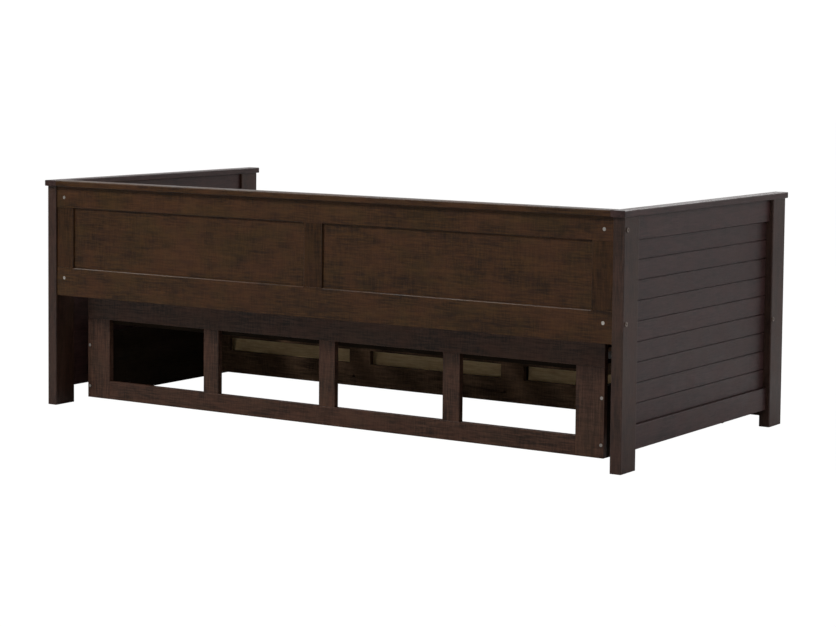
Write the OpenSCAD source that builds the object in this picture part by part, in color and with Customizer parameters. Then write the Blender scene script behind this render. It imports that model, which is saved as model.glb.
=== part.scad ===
/* [Bed] */
// Length over the outer faces of the posts
bed_l = 2020; // [1800:10:2140]
// Depth over the front and back faces of the posts
bed_d = 1030; // [980:10:1100]
// Height to the top of the caps
bed_h = 702; // [680:1:760]
// Thickness of the caps on the end and back panels
cap_t = 18; // [14:1:24]
// How far the end caps stand past the posts at each end
cap_over_x = 5; // [2:1:12]
// How far the caps stand past the posts front and back
cap_over_y = 7; // [2:1:12]
// Depth of the cap along the back panel
back_cap_d = 50; // [44:1:60]

/* [Posts and end panels] */
// Post size along the bed
post_w = 34; // [30:1:44]
// Post size across the bed
post_d = 85; // [70:1:95]
// Radius on the long edges of a post
post_r = 3; // [1:0.5:5]
// Height of the end panel's top and bottom rails
end_rail_h = 66; // [50:1:80]
// Height of the end panel's bottom rail above the floor
end_rail_z = 52; // [40:1:70]
// Recess of the end rails behind the posts' outer faces
end_rail_recess = 12.5; // [8:0.5:14]
// Thickness of the end rails
end_rail_t = 13; // [11:0.5:14]
// Number of boards that fill an end panel
plank_n = 9; // [7:1:11]
// Thickness of the boards
plank_t = 9; // [7:0.5:9]
// Width of the groove that shows between two boards
plank_groove = 3; // [2:0.5:5]

/* [Back panel] */
// Thickness of the back panel's rails and stiles
back_t = 22; // [20:1:24]
// Recess of the back panel behind the posts' back faces
back_recess = 4.5; // [3:0.5:8]
// Height of the back panel's top rail and width of its stiles
back_rail_h = 66; // [50:1:80]
// Lower edge of the back panel's lower rail
back_low_z = 345; // [340:1:350]
// Height of the back panel's lower rail
back_low_h = 88; // [80:1:95]
// Thickness of the two sunk panels
back_panel_t = 9; // [7:0.5:10]
// Radius on the frame's edges round the sunk panels
ledge_r = 4; // [2:0.5:5]
// How far the back panel's stiles sit behind the faces of its rails
stile_set = 1; // [0.5:0.5:2]

/* [Bed base] */
// Thickness of the front rail
front_rail_t = 20; // [18:1:24]
// Lower edge of the front rail
front_rail_z = 290; // [288:1:292]
// Height of the front rail
front_rail_h = 85; // [84:1:95]
// Distance of the front rail behind the posts' front faces
front_rail_inset = 65; // [60:1:70]
// Number of slats under the mattress
slat_n = 14; // [10:1:16]
// Width of a slat
slat_w = 65; // [50:1:80]
// Thickness of a slat
slat_t = 15; // [12:1:18]

/* [Trundle] */
// Gap between the trundle's ladder frame and the posts
trundle_gap = 61; // [50:1:70]
// Distance of the ladder frame in front of the posts' back faces
ladder_inset = 80; // [70:1:100]
// Clearance of the trundle's boards above the floor
trundle_z = 22; // [18:1:26]
// Top of the trundle's ladder frame and front
trundle_top = 338; // [330:1:338]
// Thickness of the ladder frame
ladder_t = 18; // [16:1:20]
// Height of the trundle's side boards
side_h = 197; // [180:1:210]
// Thickness of the trundle's side boards
side_t = 16; // [14:1:18]
// Top of the wood that carries the trundle's slats
deck_z = 271; // [270:1:272]
// Number of slats in the trundle
deck_n = 12; // [9:1:14]

/* [Drawers and wheels] */
// Distance of the drawer case's back board in front of the posts' back faces
case_inset = 662; // [640:1:690]
// Depth of the space left behind the drawers
drawer_back_gap = 27; // [20:1:40]
// Gap round each drawer front
drawer_gap = 3; // [2:0.5:4]
// Thickness of the drawer boxes' plywood
drawer_ply = 12; // [9:1:15]
// Radius of the trundle's wheels
wheel_r = 22; // [20:0.5:22]
// Width of a wheel
wheel_w = 18; // [16:1:20]
// Radius of a wheel's axle
axle_r = 4; // [3:0.5:5]

/* [Hidden] */
$fn = 48;
eps = 0.5;
through = 1;
half_l = bed_l / 2;
half_d = bed_d / 2;
post_h = bed_h - cap_t;
inner_x = half_l - post_w;
plank_z0 = end_rail_z + end_rail_h;
plank_z1 = post_h - end_rail_h;
plank_pitch = (plank_z1 - plank_z0) / plank_n;
plank_set = 10;
plank_bevel = 1;
plank_lap = 12;
plank_lap_t = plank_set + plank_t - end_rail_t;
cap_r = 3;
end_rail_r = 1;

back_y1 = half_d - back_recess;
back_y0 = back_y1 - back_t;
back_low_top = back_low_z + back_low_h;
back_top_z = post_h - back_rail_h;
back_open_x0 = back_rail_h / 2;
back_open_x1 = inner_x - back_rail_h;

front_rail_y1 = -half_d + front_rail_inset + front_rail_t;
front_rail_top = front_rail_z + front_rail_h;
ledger = 25;
ledger_x = inner_x - 2;
slat_drop = 3;
slat_z = front_rail_top - slat_drop;
ledger_z = slat_z - ledger;
slat_end_gap = 15;
slat_play = 1;
slat_r = 2;

bolt_r = 3;
bolt_hole_r = 3.4;
bolt_head_r = 6.5;
bolt_head_t = 2.5;
bolt_tail = 6;
socket_r = 2.9;
socket_depth = 1.6;
nut_r = 5;
nut_hole_r = 5.15;
nut_from_post = 29;
nut_depth = 17;
nut_set = 0.5;
nut_thread_play = 0.05;
back_nut_len = 18;
front_nut_len = 16;
nut_slot_w = 1.4;
nut_slot_depth = 0.8;
bolt_len = post_w + nut_from_post + bolt_tail;
back_bolt_y = half_d - back_recess - back_t / 2;
front_bolt_y = front_rail_y1 - front_rail_t / 2;
back_bolt_z = [back_top_z + 32, back_low_z + 55];
front_bolt_z = front_rail_z + 35;

trundle_x = inner_x - trundle_gap;
side_x = trundle_x - side_t;
ladder_y1 = half_d - ladder_inset;
ladder_y0 = ladder_y1 - ladder_t;
ladder_rail_z = 270;
ladder_stile_w = 88;
ladder_bottom_h = 55;
ladder_mid_w = 56;
ladder_mid_x = (2 * (trundle_x - ladder_stile_w) + ladder_mid_w) / 4;
ladder_mid_xs = [-ladder_mid_x, 0, ladder_mid_x];
ladder_ledger_w = 20;
ladder_ledger_h = 15;
deck_slat_w = 70;
deck_slat_t = 14;
deck_groove_d = 9;
deck_groove_play = 0.3;
deck_end_gap = 8;
screw_zs = [trundle_z + 36, trundle_z + 164];
screw_r = 2;
screw_len = 45;
screw_head_r = 4.5;
screw_head_t = 1;
screw_hole_r = 2.6;
screw_pilot_r = 2.05;
screw_pilot_depth = 40;

face_t = 20;
face_set = 2;
face_post_gap = 6;
face_r = 2;
face_y0 = -half_d + face_set;
face_y1 = face_y0 + face_t;
face_x = inner_x - face_post_gap;
face_bottom_h = 40;
face_bottom_top = trundle_z + face_bottom_h;
face_top_z = 262;

case_t = 18;
case_y1 = half_d - case_inset;
case_y0 = case_y1 - case_t;
case_z = 42;
window_z0 = 114;
window_z1 = 158;
window_end = 91;
window_gap = 80;
window_out_x = side_x - window_end;
window_w = (2 * window_out_x - 2 * window_gap) / 3;
window_in_x = window_out_x - window_w;
case_hole_r = 5;
case_hole_z = 73;
case_hole_xs = [306, -256];
partition_t = 18;

drawer_w = (2 * side_x - 4 * drawer_gap) / 3;
drawer_pitch = drawer_w + drawer_gap;
drawer_rise = 2;
drawer_r = 1.5;
drawer_z0 = face_bottom_top + drawer_rise;
drawer_z1 = face_top_z - drawer_rise;
box_play = 6;
box_w = drawer_pitch - partition_t - 2 * box_play;
box_z0 = 66;
box_z1 = 236;
box_y1 = case_y0 - drawer_back_gap;
box_floor_z = 74;
box_floor_t = 6;
notch_w = 110;
notch_h = 24;
notch_r = 14;
runner_t = 12;
runner_w = 31;
runner_play = 0.3;
runner_z1 = box_z0 - runner_play;
partition_x = drawer_pitch / 2;

axle_inset = 40;
axle_x = side_x - axle_inset;
axle_tail = 3;
axle_head_r = 6.5;
axle_head_t = 2.5;
axle_head_gap = 0.5;
collar_r = 8;
collar_gap = 0.4;
wheel_clear = 0.05;
hub_r = 9;
rim_w = 5;
web_set = 3;
rim_set = 1;
tread_r = 1.5;
rear_wheel_y = ladder_y0 - 138;
front_wheel_y = face_y1 + 78;
wheel_ys = [rear_wheel_y, front_wheel_y];
bracket_t = 3;
bracket_w = 56;
bracket_z0 = 24;
bracket_z1 = 50;
bracket_hole_r = 2.2;
bracket_hole_y = bracket_w / 2 - 8;
bracket_hole_z = 40;

// A block given by its two limits along each axis
module block(x, y, z) {
    translate([x[0], y[0], z[0]])
        cube([x[1] - x[0], y[1] - y[0], z[1] - z[0]]);
}

// Corner points of a rectangle centred on the origin with rounded corners
function round_rect(w, h, r, steps = 4) = [
    for (corner = [0:3], i = [0:steps])
        let (a = corner * 90 + i * 90 / steps)
        let (sx = corner == 0 || corner == 3 ? 1 : -1, sy = corner < 2 ? 1 : -1)
            [sx * (w / 2 - r) + r * cos(a), sy * (h / 2 - r) + r * sin(a)]
];

// An upright bar with rounded long edges, centred in plan
module bar_z(w, d, h, r) {
    linear_extrude(h)
        polygon(round_rect(w, d, r));
}

// A bar along Y with rounded long edges, centred on its axis
module bar_y(w, l, h, r) {
    rotate([90, 0, 0])
        translate([0, 0, -l / 2])
            linear_extrude(l)
                polygon(round_rect(w, h, r));
}

// A bar along X with rounded long edges, centred on its axis
module bar_x(l, d, h, r) {
    rotate([90, 0, 90])
        translate([0, 0, -l / 2])
            linear_extrude(l)
                polygon(round_rect(d, h, r));
}

// Straight cutter that rounds one edge along X; dy and dz point out of the wood
module edge_cut_x(x0, x1, y, z, dy, dz, r) {
    difference() {
        block([x0, x1], [min(y, y - dy * r), max(y, y - dy * r)] + (dy > 0 ? [0, eps] : [-eps, 0]),
            [min(z, z - dz * r), max(z, z - dz * r)] + (dz > 0 ? [0, eps] : [-eps, 0]));
        translate([x0 - through, y - dy * r, z - dz * r])
            rotate([0, 90, 0])
                cylinder(h = x1 - x0 + 2 * through, r = r);
    }
}

// Straight cutter that rounds one edge along Z; dx and dy point out of the wood
module edge_cut_z(z0, z1, x, y, dx, dy, r) {
    difference() {
        block([min(x, x - dx * r), max(x, x - dx * r)] + (dx > 0 ? [0, eps] : [-eps, 0]),
            [min(y, y - dy * r), max(y, y - dy * r)] + (dy > 0 ? [0, eps] : [-eps, 0]), [z0, z1]);
        translate([x - dx * r, y - dy * r, z0 - through])
            cylinder(h = z1 - z0 + 2 * through, r = r);
    }
}

// Bolt holes right through a post, along X
module post_holes(side, y, zs) {
    for (z = zs)
        translate([side * (half_l + through), y, z])
            rotate([0, -side * 90, 0])
                cylinder(h = post_w + 2 * through, r = bolt_hole_r);
}

// Bolt and nut holes in the end of a rail: the bolt runs along X, the nut across it
module rail_end_holes(y, y_from, y_to, zs) {
    for (side = [-1, 1], z = zs) {
        translate([side * (inner_x + through), y, z])
            rotate([0, -side * 90, 0])
                cylinder(h = bolt_len - post_w + 3 * through, r = bolt_hole_r);
        translate([side * (inner_x - nut_from_post), y_from, z])
            rotate([-90, 0, 0])
                cylinder(h = y_to - y_from, r = nut_hole_r);
    }
}

module back_post(side) {
    color([0.17, 0.13, 0.1])
        difference() {
            translate([side * (half_l - post_w / 2), half_d - post_d / 2, 0])
                bar_z(post_w, post_d, post_h, post_r);
            post_holes(side, back_bolt_y, back_bolt_z);
        }
}

module front_post(side) {
    color([0.17, 0.13, 0.1])
        difference() {
            translate([side * (half_l - post_w / 2), -half_d + post_d / 2, 0])
                bar_z(post_w, post_d, post_h, post_r);
            post_holes(side, front_bolt_y, [front_bolt_z]);
        }
}

module end_rail(side, z) {
    color([0.17, 0.13, 0.1])
        translate([side * (half_l - end_rail_recess - end_rail_t / 2), 0, z + end_rail_h / 2])
            bar_y(end_rail_t, bed_d - 2 * post_d, end_rail_h, end_rail_r);
}

// Outline of one board, thick at the back and bevelled at its two outer edges
function plank_outline() = [
    [0, 0], [plank_t / 2, 0], [plank_t / 2, plank_groove / 2],
    [plank_t - plank_bevel, plank_groove / 2], [plank_t, plank_groove / 2 + plank_bevel],
    [plank_t, plank_pitch - plank_groove / 2 - plank_bevel],
    [plank_t - plank_bevel, plank_pitch - plank_groove / 2],
    [plank_t / 2, plank_pitch - plank_groove / 2], [plank_t / 2, plank_pitch], [0, plank_pitch]
];

// The boards of an end panel, with a lip above and below that lies against the inner faces of the rails
module planks(side) {
    inner = half_l - end_rail_recess - plank_set - plank_t;
    y = [-half_d + post_d, half_d - post_d];
    color([0.2, 0.16, 0.13])
        mirror([side < 0 ? 1 : 0, 0, 0]) {
            for (i = [0:plank_n - 1])
                translate([inner, y[1], plank_z0 + i * plank_pitch])
                    rotate([90, 0, 0])
                        linear_extrude(y[1] - y[0])
                            polygon(plank_outline());
            block([inner, inner + plank_lap_t], y, [plank_z0 - plank_lap, plank_z0 + plank_groove / 2]);
            block([inner, inner + plank_lap_t], y, [plank_z1 - plank_groove / 2, plank_z1 + plank_lap]);
        }
}

module end_cap(side) {
    color([0.2, 0.16, 0.13])
        translate([side * (half_l - post_w / 2), 0, post_h + cap_t / 2])
            bar_y(post_w + 2 * cap_over_x, bed_d + 2 * cap_over_y, cap_t, cap_r);
}

module back_cap() {
    color([0.2, 0.16, 0.13])
        translate([0, half_d + cap_over_y - back_cap_d / 2, post_h + cap_t / 2])
            bar_x(2 * (inner_x - cap_over_x), back_cap_d, cap_t, cap_r);
}

// The rounded edges of a rail over the two sunk panels
module rail_ledges(z, dz) {
    for (side = [-1, 1], face = [-1, 1]) {
        x = side > 0 ? [back_open_x0, back_open_x1] : [-back_open_x1, -back_open_x0];
        edge_cut_x(x[0], x[1], face > 0 ? back_y1 : back_y0, z, face, dz, ledge_r);
    }
}

module back_top_rail() {
    color([0.17, 0.13, 0.09])
        difference() {
            block([-inner_x, inner_x], [back_y0, back_y1], [back_top_z, post_h]);
            rail_ledges(back_top_z, -1);
            rail_end_holes(back_bolt_y, back_y0 - through, back_y1 + through, [back_bolt_z[0]]);
        }
}

module back_lower_rail() {
    color([0.17, 0.13, 0.09])
        difference() {
            block([-inner_x, inner_x], [back_y0, back_y1], [back_low_z, back_low_top]);
            rail_ledges(back_low_top, 1);
            rail_end_holes(back_bolt_y, back_y0 - through, back_y1 + through, [back_bolt_z[1]]);
        }
}

// An upright of the back panel; dirs says which of its sides face a sunk panel
module back_stile(x0, x1, dirs) {
    y = [back_y0 + stile_set, back_y1 - stile_set];
    color([0.17, 0.13, 0.09])
        difference() {
            block([x0, x1], y, [back_low_top, back_top_z]);
            for (dx = dirs, face = [-1, 1])
                edge_cut_z(back_low_top, back_top_z, dx > 0 ? x1 : x0, face > 0 ? y[1] : y[0],
                    dx, face, ledge_r);
        }
}

module back_panel(side) {
    x = side > 0 ? [back_open_x0, back_open_x1] : [-back_open_x1, -back_open_x0];
    y = (back_y0 + back_y1) / 2;
    color([0.18, 0.14, 0.1])
        block(x, [y - back_panel_t / 2, y + back_panel_t / 2], [back_low_top, back_top_z]);
}

module front_rail() {
    color([0.17, 0.13, 0.09])
        difference() {
            block([-inner_x, inner_x], [front_rail_y1 - front_rail_t, front_rail_y1],
                [front_rail_z, front_rail_top]);
            rail_end_holes(front_bolt_y, front_rail_y1 - nut_depth, front_rail_y1 + through, [front_bolt_z]);
        }
}

module front_ledger() {
    color([0.75, 0.62, 0.45])
        block([-ledger_x, ledger_x], [front_rail_y1, front_rail_y1 + ledger], [ledger_z, slat_z]);
}

module back_ledger() {
    color([0.75, 0.62, 0.45])
        block([-ledger_x, ledger_x], [back_y0 - ledger, back_y0], [ledger_z, slat_z]);
}

module bed_slats() {
    run = 2 * (inner_x - slat_end_gap) - slat_w;
    color([0.8, 0.68, 0.5])
        for (i = [0:slat_n - 1])
            translate([-run / 2 + i * run / (slat_n - 1), (back_y0 + front_rail_y1) / 2, slat_z + slat_t / 2])
                bar_y(slat_w, back_y0 - front_rail_y1 - 2 * slat_play, slat_t, slat_r);
}

// A bolt along X: its low head lies on the post's outer face
module bolt(side, y, z) {
    translate([side * half_l, y, z])
        rotate([0, -side * 90, 0]) {
            cylinder(h = bolt_len, r = bolt_r);
            difference() {
                translate([0, 0, -bolt_head_t])
                    cylinder(h = bolt_head_t, r = bolt_head_r);
                translate([0, 0, -bolt_head_t - through])
                    cylinder(h = socket_depth + through, r = socket_r, $fn = 6);
            }
        }
}

module post_bolts() {
    color([0.25, 0.24, 0.23])
        for (side = [-1, 1]) {
            for (z = back_bolt_z)
                bolt(side, back_bolt_y, z);
            bolt(side, front_bolt_y, front_bolt_z);
        }
}

// A barrel nut across a rail, with its slotted face at y_face
module barrel_nut(side, y, y_face, z, length) {
    x = side * (inner_x - nut_from_post);
    dir = y_face > y ? 1 : -1;
    difference() {
        translate([x, y_face, z])
            rotate([dir * 90, 0, 0])
                cylinder(h = length, r = nut_r);
        translate([x - side * (nut_r + through), y, z])
            rotate([0, side * 90, 0])
                cylinder(h = 2 * (nut_r + through), r = bolt_r + nut_thread_play);
        block([x - nut_r, x + nut_r], [y_face - nut_slot_depth, y_face + nut_slot_depth],
            [z - nut_slot_w / 2, z + nut_slot_w / 2]);
    }
}

module barrel_nuts() {
    color([0.3, 0.29, 0.28])
        for (side = [-1, 1]) {
            for (z = back_bolt_z)
                barrel_nut(side, back_bolt_y, back_y1 - nut_set, z, back_nut_len);
            barrel_nut(side, front_bolt_y, front_rail_y1 - nut_set, front_bolt_z, front_nut_len);
        }
}

module ladder_top_rail() {
    color([0.2, 0.16, 0.12])
        block([-trundle_x, trundle_x], [ladder_y0, ladder_y1], [ladder_rail_z, trundle_top]);
}

module ladder_bottom_rail() {
    x = trundle_x - ladder_stile_w;
    color([0.22, 0.18, 0.14])
        block([-x, x], [ladder_y0, ladder_y1], [trundle_z, trundle_z + ladder_bottom_h]);
}

module ladder_stile(side) {
    x = [trundle_x - ladder_stile_w, trundle_x];
    color([0.22, 0.18, 0.14])
        mirror([side < 0 ? 1 : 0, 0, 0])
            difference() {
                block(x, [ladder_y0, ladder_y1], [trundle_z, ladder_rail_z]);
                for (z = screw_zs)
                    translate([side_x + side_t / 2, ladder_y0 - through, z])
                        rotate([-90, 0, 0])
                            cylinder(h = ladder_t + 2 * through, r = screw_hole_r);
            }
}

module ladder_mid_stiles() {
    color([0.22, 0.18, 0.14])
        for (x = ladder_mid_xs)
            block([x - ladder_mid_w / 2, x + ladder_mid_w / 2], [ladder_y0, ladder_y1],
                [trundle_z + ladder_bottom_h, ladder_rail_z]);
}

module ladder_ledger() {
    color([0.15, 0.11, 0.08])
        block([-side_x, side_x], [ladder_y0 - ladder_ledger_w, ladder_y0], [deck_z - ladder_ledger_h, deck_z]);
}

module ladder_screws() {
    color([0.3, 0.29, 0.28])
        for (side = [-1, 1], z = screw_zs)
            translate([side * (side_x + side_t / 2), ladder_y1 + screw_head_t, z])
                rotate([90, 0, 0]) {
                    cylinder(h = screw_len, r = screw_r);
                    cylinder(h = screw_head_t, r = screw_head_r);
                }
}

module trundle_side(side) {
    color([0.17, 0.13, 0.1])
        mirror([side < 0 ? 1 : 0, 0, 0])
            difference() {
                block([side_x, trundle_x], [face_y1, ladder_y0], [trundle_z, trundle_z + side_h]);
                for (z = screw_zs)
                    translate([side_x + side_t / 2, ladder_y0 - screw_pilot_depth, z])
                        rotate([-90, 0, 0])
                            cylinder(h = screw_pilot_depth + through, r = screw_pilot_r);
            }
}

module trundle_slats() {
    y0 = face_y1 - deck_groove_d + slat_play;
    run = 2 * (side_x - deck_end_gap) - deck_slat_w;
    color([0.8, 0.68, 0.5])
        for (i = [0:deck_n - 1])
            translate([-run / 2 + i * run / (deck_n - 1), (y0 + ladder_y0) / 2, deck_z + deck_slat_t / 2])
                bar_y(deck_slat_w, ladder_y0 - y0, deck_slat_t, slat_r);
}

module front_top_rail() {
    color([0.2, 0.16, 0.12])
        difference() {
            translate([0, (face_y0 + face_y1) / 2, (face_top_z + trundle_top) / 2])
                bar_x(2 * face_x, face_t, trundle_top - face_top_z, face_r);
            block([-side_x, side_x], [face_y1 - deck_groove_d, face_y1 + through],
                [deck_z, deck_z + deck_slat_t + deck_groove_play]);
        }
}

module front_bottom_rail() {
    color([0.2, 0.16, 0.12])
        translate([0, (face_y0 + face_y1) / 2, (trundle_z + face_bottom_top) / 2])
            bar_x(2 * face_x, face_t, face_bottom_h, face_r);
}

module front_stile(side) {
    x = side > 0 ? [side_x, face_x] : [-face_x, -side_x];
    color([0.2, 0.16, 0.12])
        block(x, [face_y0, face_y1], [face_bottom_top, face_top_z]);
}

module drawer_case_back() {
    windows = [[-window_out_x, -window_in_x], [-window_w / 2, window_w / 2], [window_in_x, window_out_x]];
    color([0.14, 0.1, 0.07])
        difference() {
            block([-side_x, side_x], [case_y0, case_y1], [case_z, deck_z]);
            for (w = windows)
                block(w, [case_y0 - through, case_y1 + through], [window_z0, window_z1]);
            for (x = case_hole_xs)
                translate([x, case_y0 - through, case_hole_z])
                    rotate([-90, 0, 0])
                        cylinder(h = case_t + 2 * through, r = case_hole_r);
        }
}

module case_partition(side) {
    x = side * partition_x;
    color([0.14, 0.1, 0.07])
        block([x - partition_t / 2, x + partition_t / 2], [face_y1, case_y0], [case_z, deck_z]);
}

// The two strips that each drawer runs on
module drawer_runners() {
    inner = partition_x - partition_t / 2;
    outer = partition_x + partition_t / 2;
    color([0.75, 0.62, 0.45])
        for (side = [-1, 1])
            mirror([side < 0 ? 1 : 0, 0, 0]) {
                for (x = [[inner - runner_w, inner], [outer, outer + runner_w], [side_x - runner_w, side_x]])
                    block(x, [face_y1, case_y0], [runner_z1 - runner_t, runner_z1]);
            }
}

module drawer_front(i) {
    x = i * drawer_pitch;
    color([0.2, 0.16, 0.12])
        difference() {
            translate([x, (face_y0 + face_y1) / 2, (drawer_z0 + drawer_z1) / 2])
                rotate([90, 0, 0])
                    translate([0, 0, -face_t / 2])
                        linear_extrude(face_t)
                            polygon(round_rect(drawer_w, drawer_z1 - drawer_z0, drawer_r));
            for (s = [-1, 1])
                translate([x + s * (notch_w / 2 - notch_r), face_y0 - through, drawer_z1 - notch_h + notch_r])
                    rotate([-90, 0, 0])
                        cylinder(h = face_t + 2 * through, r = notch_r);
            block([x - notch_w / 2 + notch_r, x + notch_w / 2 - notch_r], [face_y0 - through, face_y1 + through],
                [drawer_z1 - notch_h, drawer_z1 + through]);
            block([x - notch_w / 2, x + notch_w / 2], [face_y0 - through, face_y1 + through],
                [drawer_z1 - notch_h + notch_r, drawer_z1 + through]);
        }
}

module drawer_sides(i) {
    x = i * drawer_pitch;
    color([0.78, 0.66, 0.48])
        for (s = [-1, 1]) {
            inner = x + s * (box_w / 2 - drawer_ply);
            outer = x + s * box_w / 2;
            block([min(inner, outer), max(inner, outer)], [face_y1, box_y1], [box_z0, box_z1]);
        }
}

module drawer_back(i) {
    x = i * drawer_pitch;
    w = box_w / 2 - drawer_ply;
    color([0.78, 0.66, 0.48])
        block([x - w, x + w], [box_y1 - drawer_ply, box_y1], [box_z0, box_z1]);
}

module drawer_floor(i) {
    x = i * drawer_pitch;
    w = box_w / 2 - drawer_ply;
    color([0.82, 0.7, 0.52])
        block([x - w, x + w], [face_y1, box_y1 - drawer_ply], [box_floor_z, box_floor_z + box_floor_t]);
}

module caster_brackets() {
    color([0.55, 0.55, 0.56])
        for (side = [-1, 1], y = wheel_ys)
            mirror([side < 0 ? 1 : 0, 0, 0])
                difference() {
                    block([side_x - bracket_t, side_x], [y - bracket_w / 2, y + bracket_w / 2],
                        [bracket_z0, bracket_z1]);
                    for (s = [-1, 1])
                        translate([side_x - bracket_t - through, y + s * bracket_hole_y, bracket_hole_z])
                            rotate([0, 90, 0])
                                cylinder(h = bracket_t + 2 * through, r = bracket_hole_r);
                }
}

// Each axle has a collar against its bracket and a flat head outside the wheel
module caster_axles() {
    reach = axle_inset - bracket_t;
    color([0.6, 0.6, 0.62])
        for (side = [-1, 1], y = wheel_ys)
            mirror([side < 0 ? 1 : 0, 0, 0])
                translate([side_x - bracket_t, y, wheel_r])
                    rotate([0, -90, 0]) {
                        cylinder(h = reach + wheel_w / 2 + axle_tail, r = axle_r);
                        cylinder(h = reach - wheel_w / 2 - collar_gap, r = collar_r);
                        translate([0, 0, reach + wheel_w / 2 + axle_head_gap])
                            cylinder(h = axle_head_t, r = axle_head_r);
                    }
}

// Outline of a wheel's section from its bore out to its tread
function wheel_section() =
    let (bore = axle_r + wheel_clear, half = wheel_w / 2, rim = half - rim_set, web = half - web_set)
    let (inner = wheel_r - rim_w, outer = wheel_r - tread_r)
    [
        [bore, -half], [hub_r, -half], [hub_r, -web], [inner, -web],
        [inner, -rim], [outer, -rim], [wheel_r, -web],
        [wheel_r, web], [outer, rim], [inner, rim],
        [inner, web], [hub_r, web], [hub_r, half], [bore, half]
    ];

module wheel_pair(y) {
    color([0.1, 0.1, 0.1])
        for (side = [-1, 1])
            translate([side * axle_x, y, wheel_r])
                rotate([0, 90, 0])
                    rotate_extrude()
                        polygon(wheel_section());
}

back_post(-1);  // left_back_post
front_post(-1);  // left_front_post
end_rail(-1, plank_z1);  // left_top_rail
end_rail(-1, end_rail_z);  // left_bottom_rail
planks(-1);  // left_planks
end_cap(-1);  // left_cap
back_post(1);  // right_back_post
front_post(1);  // right_front_post
end_rail(1, plank_z1);  // right_top_rail
end_rail(1, end_rail_z);  // right_bottom_rail
planks(1);  // right_planks
end_cap(1);  // right_cap
back_top_rail();
back_lower_rail();
back_stile(-inner_x, -back_open_x1, [1]);  // back_stile_left
back_stile(-back_open_x0, back_open_x0, [-1, 1]);  // back_stile_middle
back_stile(back_open_x1, inner_x, [-1]);  // back_stile_right
back_panel(-1);  // back_panel_left
back_panel(1);  // back_panel_right
back_cap();
front_rail();
front_ledger();
back_ledger();
bed_slats();
post_bolts();
barrel_nuts();
ladder_top_rail();
ladder_bottom_rail();
ladder_stile(-1);  // ladder_stile_left
ladder_stile(1);  // ladder_stile_right
ladder_mid_stiles();
ladder_ledger();
ladder_screws();
trundle_side(-1);  // trundle_side_left
trundle_side(1);  // trundle_side_right
trundle_slats();
front_top_rail();
front_bottom_rail();
front_stile(-1);  // front_stile_left
front_stile(1);  // front_stile_right
drawer_case_back();
case_partition(-1);  // case_partition_left
case_partition(1);  // case_partition_right
drawer_runners();
drawer_front(-1);  // drawer_left_front
drawer_sides(-1);  // drawer_left_sides
drawer_back(-1);  // drawer_left_back
drawer_floor(-1);  // drawer_left_floor
drawer_front(0);  // drawer_middle_front
drawer_sides(0);  // drawer_middle_sides
drawer_back(0);  // drawer_middle_back
drawer_floor(0);  // drawer_middle_floor
drawer_front(1);  // drawer_right_front
drawer_sides(1);  // drawer_right_sides
drawer_back(1);  // drawer_right_back
drawer_floor(1);  // drawer_right_floor
caster_brackets();
caster_axles();
wheel_pair(rear_wheel_y);  // rear_wheels
wheel_pair(front_wheel_y);  // front_wheels
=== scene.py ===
import math

import bpy
from mathutils import Matrix, Vector


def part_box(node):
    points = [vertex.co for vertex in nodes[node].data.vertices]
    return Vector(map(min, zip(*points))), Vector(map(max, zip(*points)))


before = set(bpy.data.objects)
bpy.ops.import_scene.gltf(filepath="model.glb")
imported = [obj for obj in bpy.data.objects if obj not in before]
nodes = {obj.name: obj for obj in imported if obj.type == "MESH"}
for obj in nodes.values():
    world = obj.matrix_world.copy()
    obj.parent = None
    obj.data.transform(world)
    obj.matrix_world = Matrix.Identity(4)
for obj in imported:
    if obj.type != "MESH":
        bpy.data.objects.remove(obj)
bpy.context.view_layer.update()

SIDES = ("left", "right")
DRAWERS = ("left", "middle", "right")
AXES = "XYZ"

# ---------------------------------------------------------------- camera, floor, light

# Metres and radians, with the lens and the sensor in millimetres
CAMERA_AT = Vector((-3.791, 5.797, 1.121))
CAMERA_YAW = 0.5757
CAMERA_PITCH = 0.0724
CAMERA_ROLL = 0.0102
CAMERA_LENS = 97.8
CAMERA_SENSOR = 36
CAMERA_SHIFT = -0.12

WHITE = (1, 1, 1, 1)
# Strength of the white that the camera sees of the floor and of the world
WHITE_STRENGTH = 1.05
FLOOR_SIZE = 60
FLOOR_GREY = (0.4, 0.4, 0.4, 1)
# The rest of the floor's look is its grey surface, which takes the faint shadow
FLOOR_WHITE_SHARE = 0.96

# The world's light on the object changes with its direction's Y, from the bed's front to its back
WORLD_FRONT_Y = -0.9
WORLD_BACK_Y = 0.2
WORLD_FRONT_STRENGTH = 0.9
WORLD_BACK_STRENGTH = 0.03


def add_camera():
    """Stands behind the bed and looks over its back panel towards the far front corner."""
    data = bpy.data.cameras.new("camera")
    data.lens = CAMERA_LENS
    data.sensor_width = CAMERA_SENSOR
    data.shift_y = CAMERA_SHIFT
    cam = bpy.data.objects.new("camera", data)
    bpy.context.collection.objects.link(cam)
    level = Vector((math.sin(CAMERA_YAW), -math.cos(CAMERA_YAW), 0))
    forward = level * math.cos(CAMERA_PITCH) + Vector((0, 0, -math.sin(CAMERA_PITCH)))
    right = forward.cross(Vector((0, 0, 1))).normalized()
    up = right.cross(forward)
    tilted_right = right * math.cos(CAMERA_ROLL) + up * math.sin(CAMERA_ROLL)
    tilted_up = up * math.cos(CAMERA_ROLL) - right * math.sin(CAMERA_ROLL)
    turn = Matrix((tilted_right, tilted_up, -forward)).transposed()
    cam.matrix_world = Matrix.Translation(CAMERA_AT) @ turn.to_4x4()
    bpy.context.scene.camera = cam


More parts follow.
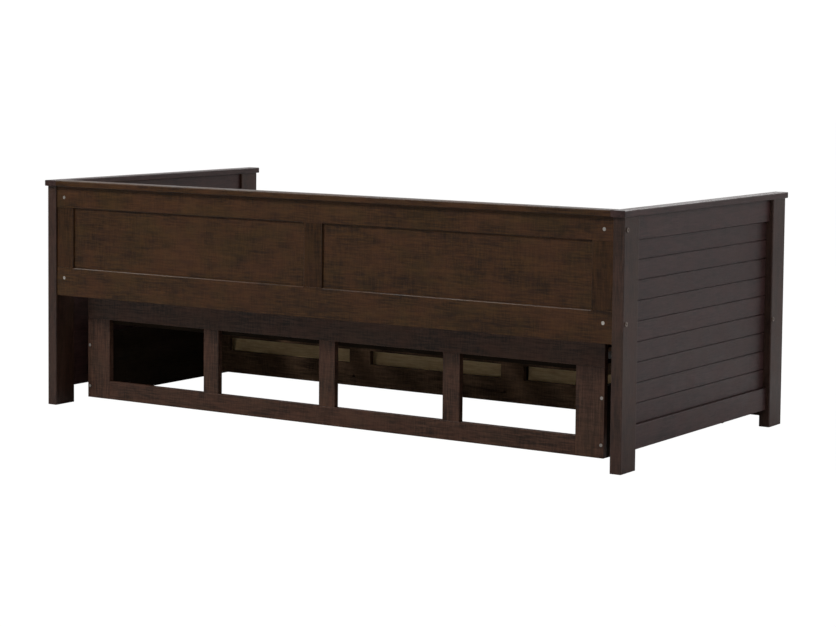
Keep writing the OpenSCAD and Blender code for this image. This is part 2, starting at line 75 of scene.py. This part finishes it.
def add_floor():
    """A wide pale floor that keeps only a faint shadow, as a white studio sweep does."""
    bpy.ops.mesh.primitive_plane_add(size=FLOOR_SIZE)
    floor = bpy.context.object
    floor.name = "floor"
    mat = bpy.data.materials.new("floor")
    mat.use_nodes = True
    tree = mat.node_tree
    tree.nodes.clear()
    out = tree.nodes.new("ShaderNodeOutputMaterial")
    matt = tree.nodes.new("ShaderNodeBsdfDiffuse")
    matt.inputs["Color"].default_value = FLOOR_GREY
    glow = tree.nodes.new("ShaderNodeEmission")
    glow.inputs["Color"].default_value = WHITE
    glow.inputs["Strength"].default_value = WHITE_STRENGTH
    path = tree.nodes.new("ShaderNodeLightPath")
    share = tree.nodes.new("ShaderNodeMath")
    share.operation = "MULTIPLY"
    share.inputs[1].default_value = FLOOR_WHITE_SHARE
    mix = tree.nodes.new("ShaderNodeMixShader")
    tree.links.new(path.outputs["Is Camera Ray"], share.inputs[0])
    tree.links.new(share.outputs[0], mix.inputs[0])
    tree.links.new(matt.outputs[0], mix.inputs[1])
    tree.links.new(glow.outputs[0], mix.inputs[2])
    tree.links.new(mix.outputs[0], out.inputs[0])
    floor.data.materials.append(mat)


def add_world():
    """White for the camera; for the object, bright beyond its open front and dim behind the camera."""
    world = bpy.data.worlds.new("studio")
    bpy.context.scene.world = world
    world.use_nodes = True
    tree = world.node_tree
    tree.nodes.clear()
    out = tree.nodes.new("ShaderNodeOutputWorld")
    coord = tree.nodes.new("ShaderNodeTexCoord")
    split = tree.nodes.new("ShaderNodeSeparateXYZ")
    ramp = tree.nodes.new("ShaderNodeMapRange")
    ramp.inputs["From Min"].default_value = WORLD_FRONT_Y
    ramp.inputs["From Max"].default_value = WORLD_BACK_Y
    ramp.inputs["To Min"].default_value = WORLD_FRONT_STRENGTH
    ramp.inputs["To Max"].default_value = WORLD_BACK_STRENGTH
    soft = tree.nodes.new("ShaderNodeBackground")
    white = tree.nodes.new("ShaderNodeBackground")
    soft.inputs["Color"].default_value = WHITE
    white.inputs["Color"].default_value = WHITE
    white.inputs["Strength"].default_value = WHITE_STRENGTH
    path = tree.nodes.new("ShaderNodeLightPath")
    mix = tree.nodes.new("ShaderNodeMixShader")
    tree.links.new(coord.outputs["Generated"], split.inputs[0])
    tree.links.new(split.outputs["Y"], ramp.inputs["Value"])
    tree.links.new(ramp.outputs[0], soft.inputs["Strength"])
    tree.links.new(path.outputs["Is Camera Ray"], mix.inputs[0])
    tree.links.new(soft.outputs[0], mix.inputs[1])
    tree.links.new(white.outputs[0], mix.inputs[2])
    tree.links.new(mix.outputs[0], out.inputs[0])


def add_softbox(name, at, aim, size, watts, tint=(1, 1, 1)):
    """A rectangular light of the given width and height, turned from `at` towards `aim`."""
    data = bpy.data.lights.new(name, "AREA")
    data.shape = "RECTANGLE"
    data.size, data.size_y = size
    data.energy = watts
    data.color = tint
    light = bpy.data.objects.new(name, data)
    bpy.context.collection.objects.link(light)
    light.location = at
    light.rotation_mode = "QUATERNION"
    light.rotation_quaternion = (Vector(aim) - Vector(at)).to_track_quat("-Z", "Y")


def add_softboxes():
    add_softbox("key", (3.6, 4.2, 5.2), (0.0, 0.5, 0.4), (2.2, 1.6), 520, (1.0, 0.97, 0.93))
    add_softbox("front", (-3.2, 4.6, 4.4), (0, 0.5, 0.3), (2.6, 1.6), 62, (1.0, 0.95, 0.88))
    add_softbox("low", (-3.0, 7.0, 0.9), (0, 0, 0.2), (7.0, 1.2), 60, (1.0, 0.97, 0.92))
    add_softbox("fill", (-5.5, -0.8, 2.6), (-1, -0.1, 0.5), (2.0, 2.0), 98, (1.0, 0.94, 1.0))
    add_softbox("top", (0, -0.5, 5.0), (0, 0, 0), (5.0, 3.0), 80)
    add_softbox("behind", (0.5, -6.0, 4.5), (0, -0.5, 0.3), (3.0, 2.0), 90)


# ---------------------------------------------------------------- materials

# Cosine of the angle between the rounded and the true normal, on a flat face and on a sharp edge
FLAT_COSINE = 0.995
EDGE_COSINE = 0.8


class Tree:
    """A material's node tree with short calls for the nodes that the finishes here use."""

    def __init__(self, name):
        self.mat = bpy.data.materials.new(name)
        self.mat.use_nodes = True
        self.tree = self.mat.node_tree
        self.bsdf = self.tree.nodes["Principled BSDF"]

    def node(self, kind, **values):
        made = self.tree.nodes.new(kind)
        for key, value in values.items():
            setattr(made, key, value)
        return made

    def link(self, a, b):
        self.tree.links.new(a, b)

    def feed(self, socket, value):
        if isinstance(value, bpy.types.NodeSocket):
            self.link(value, socket)
        else:
            socket.default_value = value

    def math(self, operation, a, b, clamp=False):
        made = self.node("ShaderNodeMath", operation=operation, use_clamp=clamp)
        self.feed(made.inputs[0], a)
        self.feed(made.inputs[1], b)
        return made.outputs[0]

    def floor(self, value):
        made = self.node("ShaderNodeMath", operation="FLOOR")
        self.link(value, made.inputs[0])
        return made.outputs[0]

    def place(self, scale, offset, vector=None):
        """The given coordinates, or else the object's, shifted and then scaled."""
        if vector is None:
            vector = self.node("ShaderNodeTexCoord").outputs["Object"]
        move = self.node("ShaderNodeVectorMath", operation="ADD")
        self.link(vector, move.inputs[0])
        move.inputs[1].default_value = offset
        size = self.node("ShaderNodeVectorMath", operation="MULTIPLY")
        self.link(move.outputs[0], size.inputs[0])
        size.inputs[1].default_value = scale
        return size.outputs[0]

    def noise(self, vector, detail, rough, distortion=0.0):
        """Noise at the coordinates' own scale."""
        made = self.node("ShaderNodeTexNoise")
        self.link(vector, made.inputs["Vector"])
        made.inputs["Scale"].default_value = 1.0
        made.inputs["Detail"].default_value = detail
        made.inputs["Roughness"].default_value = rough
        made.inputs["Distortion"].default_value = distortion
        return made.outputs["Fac"]

    def span(self, value, low, high, to_low=0.0, to_high=1.0):
        """The value's range low to high, mapped to to_low to to_high and held there beyond it."""
        made = self.node("ShaderNodeMapRange")
        self.link(value, made.inputs["Value"])
        made.inputs["From Min"].default_value = low
        made.inputs["From Max"].default_value = high
        made.inputs["To Min"].default_value = to_low
        made.inputs["To Max"].default_value = to_high
        return made.outputs[0]

    def mix(self, fac, a, b):
        """From colour a, at fac 0, to colour b."""
        made = self.node("ShaderNodeMix", data_type="RGBA")
        self.feed(made.inputs[0], fac)
        for socket, value in ((made.inputs[6], a), (made.inputs[7], b)):
            self.feed(socket, value if isinstance(value, bpy.types.NodeSocket) else (*value, 1))
        return made.outputs[2]

    def edges(self, radius):
        """1 on a sharp edge, 0 on a flat face."""
        bevel = self.node("ShaderNodeBevel", samples=4)
        bevel.inputs["Radius"].default_value = radius
        geometry = self.node("ShaderNodeNewGeometry")
        dot = self.node("ShaderNodeVectorMath", operation="DOT_PRODUCT")
        self.link(bevel.outputs[0], dot.inputs[0])
        self.link(geometry.outputs["True Normal"], dot.inputs[1])
        return self.span(dot.outputs["Value"], FLAT_COSINE, EDGE_COSINE)

    def bump(self, height, strength, distance):
        made = self.node("ShaderNodeBump")
        made.inputs["Strength"].default_value = strength
        made.inputs["Distance"].default_value = distance
        self.link(height, made.inputs["Height"])
        self.link(made.outputs[0], self.bsdf.inputs["Normal"])


# Noise scales per metre, along the grain and across it
FINE = (18, 240)
FIGURE = (4, 38)
BLOTCH = (9, 13)
PATCH = (6, 11)
RAYS = (260, 26)
PORES = (60, 1500)

# A seed moves the noise by these steps along the three axes, wrapped at SEED_WRAP metres
SEED_STEPS = (1.37, 2.11, 0.73)
SEED_WRAP = 9
# The most that one board of a row is moved against the others, in metres
BOARD_SHIFT = 7
# How much of the dark stain the darkest board of a row takes
BOARD_DARK = 0.25

PORE_SHADE = 0.35
PORE_ROUGH = 0.15
BLOTCH_ROUGH = 0.06


def shade(colour, factor):
    return tuple(c * factor for c in colour)


def along(axis, scales):
    """A scale per axis: the first on the grain's own axis, the second on the two across it."""
    return tuple(scales[0] if a == axis else scales[1] for a in AXES)


def cell_shift(t, axis, start, pitch):
    """Object coordinates moved differently on each board of a row, and each board's 0 to 1 value."""
    vector = t.node("ShaderNodeTexCoord").outputs["Object"]
    split = t.node("ShaderNodeSeparateXYZ")
    t.link(vector, split.inputs[0])
    index = t.floor(t.math("DIVIDE", t.math("SUBTRACT", split.outputs[axis], start), pitch))
    white = t.node("ShaderNodeTexWhiteNoise", noise_dimensions="1D")
    t.link(index, white.inputs["W"])
    move = t.node("ShaderNodeVectorMath", operation="MULTIPLY_ADD")
    t.link(white.outputs["Color"], move.inputs[0])
    move.inputs[1].default_value = (BOARD_SHIFT, BOARD_SHIFT, BOARD_SHIFT)
    t.link(vector, move.inputs[2])
    return move.outputs[0], white.outputs["Value"]


def wood(name, axis, dark, light, warm, seed,
         olive=None, rough=0.42, gloss=0.28, pore=0.5, cross=0.2, cells=None):
    """Stained or bare timber, its grain along `axis`.

    Noise stays near 0.5, so each span stretches the middle of it. `cross` is the strength of the rays
    across the grain, and `cells` gives the axis, start and pitch of a row of boards.
    """
    t = Tree(name)
    shift = tuple(seed * step % SEED_WRAP for step in SEED_STEPS)
    vector, board = cell_shift(t, *cells) if cells else (None, None)
    fine = t.noise(t.place(along(axis, FINE), shift, vector), detail=4, rough=0.7)
    figure = t.noise(t.place(along(axis, FIGURE), shift, vector), detail=3, rough=0.6, distortion=0.4)
    blotch = t.noise(t.place(along(axis, BLOTCH), shift, vector), detail=3, rough=0.6, distortion=0.3)
    patch = t.noise(t.place(along(axis, PATCH), shift[::-1], vector), detail=2, rough=0.6, distortion=0.3)
    rays = t.noise(t.place(along(axis, RAYS), shift, vector), detail=2, rough=0.6)
    specks = t.noise(t.place(along(axis, PORES), shift, vector), detail=1, rough=0.5)
    pores = t.span(specks, 0.6, 0.75)
    streaks = t.span(fine, 0.39, 0.61, -0.08, 0.66)
    waves = t.span(figure, 0.35, 0.65, 0, 0.26)
    grain = t.math("ADD", streaks, waves, clamp=True)
    grain = t.math("ADD", grain, t.span(rays, 0.38, 0.62, -cross, cross), clamp=True)
    colour = t.mix(grain, dark, light)
    colour = t.mix(t.span(blotch, 0.42, 0.62, 0, 0.4), colour, warm)
    if olive:
        colour = t.mix(t.span(patch, 0.5, 0.64, 0, 0.3), colour, olive)
    if board is not None:
        colour = t.mix(t.span(board, 0, 1, 0, BOARD_DARK), colour, dark)
    colour = t.mix(t.math("MULTIPLY", pores, pore), colour, shade(dark, PORE_SHADE))
    t.link(colour, t.bsdf.inputs["Base Color"])
    face_rough = t.span(blotch, 0.3, 0.7, rough - BLOTCH_ROUGH, rough + BLOTCH_ROUGH)
    pore_rough = t.math("MULTIPLY", pores, PORE_ROUGH)
    t.link(t.math("ADD", face_rough, pore_rough), t.bsdf.inputs["Roughness"])
    t.bsdf.inputs["Specular IOR Level"].default_value = gloss
    height = t.math("SUBTRACT", t.math("MULTIPLY", fine, 0.5), pores)
    t.bump(height, strength=0.25, distance=0.0003)
    return t.mat


def metal(name, colour, rough, seed):
    """Plated or blackened steel with fine scuffs."""
    t = Tree(name)
    scuff = t.noise(t.place((900, 900, 900), (seed, seed, seed)), detail=4, rough=0.7)
    cloud = t.noise(t.place((60, 60, 60), (seed, 0, seed)), detail=2, rough=0.5)
    t.link(t.mix(t.span(cloud, 0.35, 0.65), colour, shade(colour, 0.8)), t.bsdf.inputs["Base Color"])
    t.link(t.span(scuff, 0.3, 0.7, rough - 0.08, rough + 0.1), t.bsdf.inputs["Roughness"])
    t.bsdf.inputs["Metallic"].default_value = 1.0
    t.bump(scuff, strength=0.1, distance=0.0001)
    return t.mat


def plastic(name, colour, seed):
    """Matt moulded nylon with a faint grain, patches of dust, and a painted highlight that lightens its
    sharp edges.
    """
    t = Tree(name)
    grain = t.noise(t.place((1400, 1400, 1400), (seed, 0, 0)), detail=2, rough=0.6)
    dust = t.noise(t.place((70, 70, 70), (0, seed, 0)), detail=3, rough=0.6)
    tone = t.mix(t.span(dust, 0.45, 0.8, 0, 0.4), colour, shade(colour, 2.2))
    # Painted highlight: sharp edges lightened to 2.5 times the nylon's colour
    t.link(t.mix(t.edges(0.001), tone, shade(colour, 2.5)), t.bsdf.inputs["Base Color"])
    t.link(t.span(grain, 0.3, 0.7, 0.5, 0.62), t.bsdf.inputs["Roughness"])
    t.bump(grain, strength=0.15, distance=0.0002)
    return t.mat


# ---------------------------------------------------------------- finishes of the bed

ESPRESSO = dict(dark=(0.0105, 0.0038, 0.001), light=(0.047, 0.0205, 0.0053), warm=(0.056, 0.0185, 0.005),
                olive=(0.041, 0.0225, 0.0045), gloss=0.22)
STILE = dict(dark=(0.009, 0.0036, 0.001), light=(0.039, 0.0165, 0.0048), warm=(0.044, 0.016, 0.0046),
             olive=(0.034, 0.0175, 0.0042), gloss=0.18)
LADDER = dict(dark=(0.012, 0.006, 0.0036), light=(0.062, 0.03, 0.0195), warm=(0.066, 0.027, 0.016),
              olive=(0.055, 0.03, 0.018), gloss=0.24)
# A copy of the espresso stain tinted purple-grey: painted sheen of the cool side light on the end panels'
# faces
END_FACE_PAINTED_SHEEN = dict(dark=(0.0115, 0.005, 0.0046), light=(0.043, 0.0205, 0.0195), warm=(0.046, 0.0185, 0.0165),
                olive=(0.04, 0.0205, 0.0165), gloss=0.36, rough=0.38, cross=0.12)
# A copy of the espresso stain tinted part way to purple-grey: painted sheen of the cool side light on the
# posts
POST_PAINTED_SHEEN = dict(dark=(0.0115, 0.0048, 0.003), light=(0.042, 0.02, 0.0135), warm=(0.046, 0.0185, 0.012),
            olive=(0.038, 0.0205, 0.012), gloss=0.36, rough=0.38, cross=0.12)
# A near-black copy of the stain for the parts inside the bed: painted shade of its dark interior
INNER_PAINTED_SHADE = dict(dark=(0.006, 0.004, 0.0025), light=(0.015, 0.01, 0.006), warm=(0.016, 0.01, 0.006), rough=0.75,
             gloss=0.05)
CASE = dict(dark=(0.024, 0.014, 0.0085), light=(0.088, 0.054, 0.032), warm=(0.09, 0.051, 0.029), rough=0.65,
            gloss=0.1)
PINE = dict(dark=(0.42, 0.27, 0.13), light=(0.62, 0.45, 0.27), warm=(0.66, 0.44, 0.22), rough=0.62,
            pore=0.25, cross=0.05)
PLY = dict(dark=(0.34, 0.24, 0.125), light=(0.52, 0.4, 0.23), warm=(0.5, 0.35, 0.19), rough=0.65, pore=0.3,
           cross=0.05)

NYLON = (0.02, 0.02, 0.021)

WELD_DISTANCE = 0.00002
EASED_ANGLE = math.radians(40)
EASED_WIDTH = 0.0012
EASED_SEGMENTS = 2

# A node's seed comes from its place in its list and the length of its name
SEED_START = 3.1
SEED_PER_NODE = 1.7
SEED_PER_LETTER = 0.37

PLANK_COUNT = 9


def ease_edges(piece, width):
    """Rounds the sharp edges of a CAD piece by a hair, with a modifier."""
    weld = piece.modifiers.new("weld", "WELD")
    weld.merge_threshold = WELD_DISTANCE
    bevel = piece.modifiers.new("ease", "BEVEL")
    bevel.width = width
    bevel.segments = EASED_SEGMENTS
    bevel.limit_method = "ANGLE"
    bevel.angle_limit = EASED_ANGLE
    bevel.use_clamp_overlap = True


def finish_node(name, mat, width=0.0):
    piece = nodes[name]
    for slot in piece.material_slots:
        slot.material = mat
    if width:
        ease_edges(piece, width)


def finish_wood(names, axis, look, width=EASED_WIDTH, **more):
    """Gives each named node its own cut of the same timber."""
    for number, name in enumerate(names):
        seed = SEED_START + SEED_PER_NODE * number + len(name) * SEED_PER_LETTER
        finish_node(name, wood(name, axis, seed=seed, **{**look, **more}), width)


def plank_cells(name):
    """Equal cells over the planks' height, which their lips make a little wider than the boards."""
    low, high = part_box(name)
    return ("Z", low.z, (high.z - low.z) / PLANK_COUNT)


def finish_daybed():
    for side in SIDES:
        finish_wood([f"{side}_back_post", f"{side}_front_post"], "Z", POST_PAINTED_SHEEN, 0)
        finish_wood([f"{side}_top_rail", f"{side}_bottom_rail"], "Y", END_FACE_PAINTED_SHEEN, 0.0006)
        finish_wood([f"{side}_planks"], "Y", END_FACE_PAINTED_SHEEN, 0, cells=plank_cells(f"{side}_planks"))
        finish_wood([f"{side}_cap"], "Y", END_FACE_PAINTED_SHEEN, 0.001)
    finish_wood(["back_cap"], "X", ESPRESSO, 0.001)
    finish_wood(["back_top_rail", "back_lower_rail"], "X", ESPRESSO, 0.0006)
    finish_wood(["back_panel_left", "back_panel_right"], "X", ESPRESSO, 0)
    finish_wood(["back_stile_left", "back_stile_middle", "back_stile_right"], "Z", STILE, 0.0006)
    finish_wood(["front_rail"], "X", ESPRESSO)
    finish_wood(["front_ledger", "back_ledger"], "X", INNER_PAINTED_SHADE)
    finish_wood(["bed_slats"], "Y", PINE, 0)


def finish_trundle():
    finish_wood(["ladder_top_rail", "ladder_bottom_rail"], "X", LADDER, 0.0008)
    finish_wood(["ladder_stile_left", "ladder_stile_right", "ladder_mid_stiles"], "Z", LADDER, 0.0008)
    finish_wood(["trundle_side_left", "trundle_side_right"], "Y", INNER_PAINTED_SHADE)
    finish_wood(["drawer_case_back"], "X", CASE, 0.0008)
    finish_wood(["ladder_ledger"], "X", INNER_PAINTED_SHADE, 0.0008)
    finish_wood(["case_partition_left", "case_partition_right"], "Y", INNER_PAINTED_SHADE)
    finish_wood(["front_top_rail", "front_bottom_rail"], "X", ESPRESSO, 0)
    finish_wood(["front_stile_left", "front_stile_right"], "Z", ESPRESSO, 0.0008)
    finish_wood(["drawer_runners"], "Y", PINE)
    finish_wood(["trundle_slats"], "Y", INNER_PAINTED_SHADE, 0)
    for place in DRAWERS:
        finish_wood([f"drawer_{place}_front"], "X", ESPRESSO, 0.001)
        finish_wood([f"drawer_{place}_sides"], "Y", PLY, 0.0006)
        finish_wood([f"drawer_{place}_back", f"drawer_{place}_floor"], "X", PLY, 0.0006)


def finish_hardware():
    finish_node("post_bolts", metal("post_bolts", (0.3, 0.25, 0.22), 0.28, 1.0), 0.0004)
    finish_node("barrel_nuts", metal("barrel_nuts", (0.6, 0.58, 0.55), 0.3, 2.0), 0.0003)
    finish_node("ladder_screws", metal("ladder_screws", (0.4, 0.38, 0.36), 0.35, 3.0), 0.0003)
    finish_node("caster_brackets", metal("caster_brackets", (0.03, 0.03, 0.032), 0.45, 4.0), 0.0004)
    finish_node("caster_axles", metal("caster_axles", (0.6, 0.6, 0.62), 0.3, 5.0), 0.0004)
    finish_node("rear_wheels", plastic("rear_wheels", NYLON, 6.0))
    finish_node("front_wheels", plastic("front_wheels", NYLON, 7.0))


add_camera()
add_floor()
add_world()
add_softboxes()
finish_daybed()
finish_trundle()
finish_hardware()

bpy.context.scene.view_settings.view_transform = "Standard"
